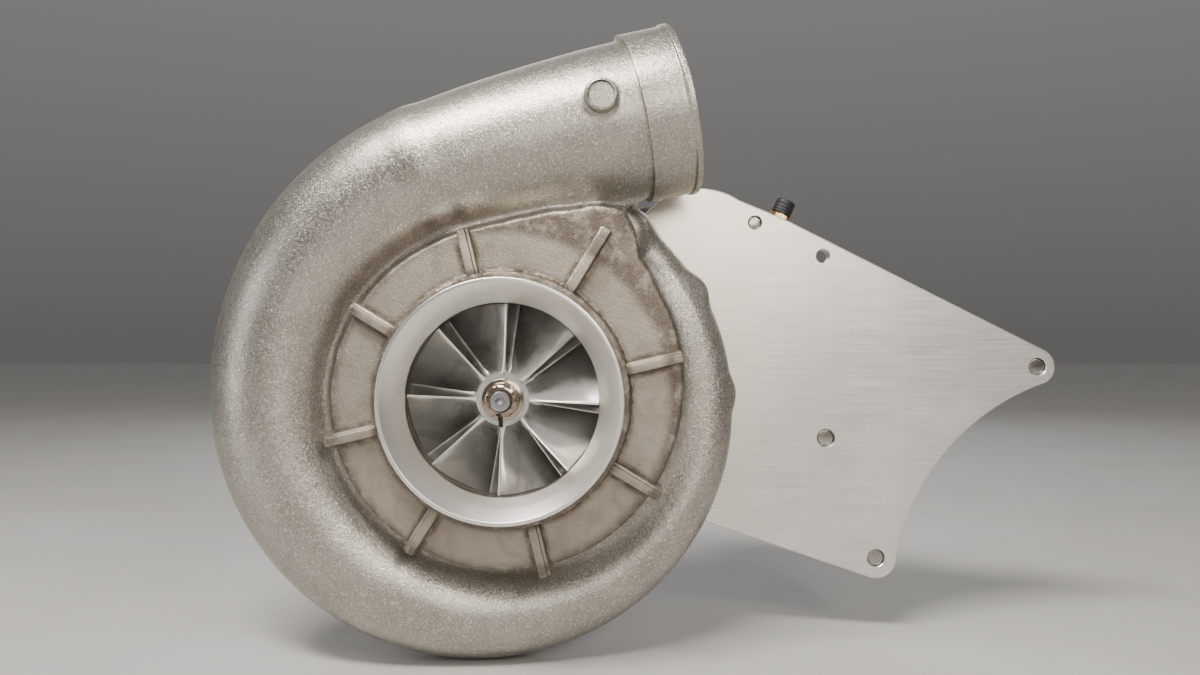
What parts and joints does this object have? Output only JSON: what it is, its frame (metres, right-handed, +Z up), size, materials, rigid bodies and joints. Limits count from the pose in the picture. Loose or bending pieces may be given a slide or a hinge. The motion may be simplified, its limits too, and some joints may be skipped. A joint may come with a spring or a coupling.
{
  "type": "centrifugal supercharger",
  "caption": "Gear-driven centrifugal supercharger with spiral cast housing, bladed wheel, angled outlet neck, mounting plate and belt pulley.",
  "frame": {"origin": "centre of the inlet ring's front face, on the impeller axis", "axes": "+Y runs into the machine along the impeller axis, +X towards the outlet and the mounting plate's tip, +Z up"},
  "size_m": [0.485, 0.2135, 0.3479],
  "materials": {
    "cast": "bead-blasted casting",
    "cast_raw": "as-cast",
    "machined": "turned",
    "polished": "polished",
    "plate": "brushed",
    "bright_steel": "zinc plated",
    "dark_steel": "black oxide",
    "gear_steel": "ground",
    "bearing_steel": "ground and polished",
    "nut_steel": "heat-tinted",
    "brass": "turned",
    "black_plastic": "moulded",
    "seal": "moulded",
    "carbon": "lapped carbon",
    "gasket": "fibre sheet"
  },
  "bodies": {
    "housing": {"volute_housing": "cast", "inlet_ring": "machined", "back_plate": "machined", "back_plate_screws": "dark_steel", "volute_screws": "dark_steel", "volute_oring": "seal", "shaft_seal": "carbon", "mounting_plate": "plate", "plate_standoffs": "machined", "standoff_screws": "bright_steel", "plate_case_screws": "bright_steel", "plate_lug_screw": "bright_steel", "gearcase_front": "cast_raw", "gearcase_cover": "cast_raw", "case_gasket": "gasket", "case_screws": "bright_steel", "vent_fitting": "brass", "vent_cap": "black_plastic", "drain_plug": "bright_steel", "input_seal": "seal", "shaft_bearing_front_outer_race": "bearing_steel", "shaft_bearing_rear_outer_race": "bearing_steel", "input_bearing_front_outer_race": "bearing_steel", "input_bearing_rear_outer_race": "bearing_steel"},
    "input_rotor": {"input_shaft": "gear_steel", "drive_gear": "gear_steel", "drive_pulley": "dark_steel", "pulley_key": "gear_steel", "pulley_spacer": "bright_steel", "pulley_washer": "bright_steel", "pulley_bolt": "bright_steel", "input_bearing_front_inner_race": "bearing_steel", "input_bearing_rear_inner_race": "bearing_steel"},
    "impeller_rotor": {"compressor_wheel": "polished", "wheel_washer": "nut_steel", "wheel_nut": "nut_steel", "seal_sleeve": "gear_steel", "high_speed_shaft": "gear_steel", "pinion_gear": "gear_steel", "shaft_bearing_front_inner_race": "bearing_steel", "shaft_bearing_rear_inner_race": "bearing_steel"},
    "shaft_bearing_front_cage": {"shaft_bearing_front_ball_cage": "bearing_steel"},
    "shaft_bearing_rear_cage": {"shaft_bearing_rear_ball_cage": "bearing_steel"},
    "input_bearing_front_cage": {"input_bearing_front_ball_cage": "bearing_steel"},
    "input_bearing_rear_cage": {"input_bearing_rear_ball_cage": "bearing_steel"}
  },
  "joints": [
    {"name": "input_spin", "type": "hinge", "parent": "housing", "child": "input_rotor", "pos_m": [0.09659, 0, 0.02588], "axis": [0, 1, 0], "continuous": true},
    {"name": "impeller_spin", "type": "hinge", "parent": "housing", "child": "impeller_rotor", "pos_m": [0, 0, 0], "axis": [0, 1, 0], "continuous": true},
    {"name": "shaft_bearing_front_cage_spin", "type": "hinge", "parent": "housing", "child": "shaft_bearing_front_cage", "pos_m": [0, 0, 0], "axis": [0, 1, 0], "continuous": true},
    {"name": "shaft_bearing_rear_cage_spin", "type": "hinge", "parent": "housing", "child": "shaft_bearing_rear_cage", "pos_m": [0, 0, 0], "axis": [0, 1, 0], "continuous": true},
    {"name": "input_bearing_front_cage_spin", "type": "hinge", "parent": "housing", "child": "input_bearing_front_cage", "pos_m": [0.09659, 0, 0.02588], "axis": [0, 1, 0], "continuous": true},
    {"name": "input_bearing_rear_cage_spin", "type": "hinge", "parent": "housing", "child": "input_bearing_rear_cage", "pos_m": [0.09659, 0, 0.02588], "axis": [0, 1, 0], "continuous": true}
  ],
  "couplings": [
    {"joint": "impeller_spin", "follows": "input_spin", "ratio": -3.5455},
    {"joint": "shaft_bearing_front_cage_spin", "follows": "input_spin", "ratio": -1.3498},
    {"joint": "shaft_bearing_rear_cage_spin", "follows": "input_spin", "ratio": -1.3473},
    {"joint": "input_bearing_front_cage_spin", "follows": "input_spin", "ratio": 0.3807},
    {"joint": "input_bearing_rear_cage_spin", "follows": "input_spin", "ratio": 0.3961}
  ]
}
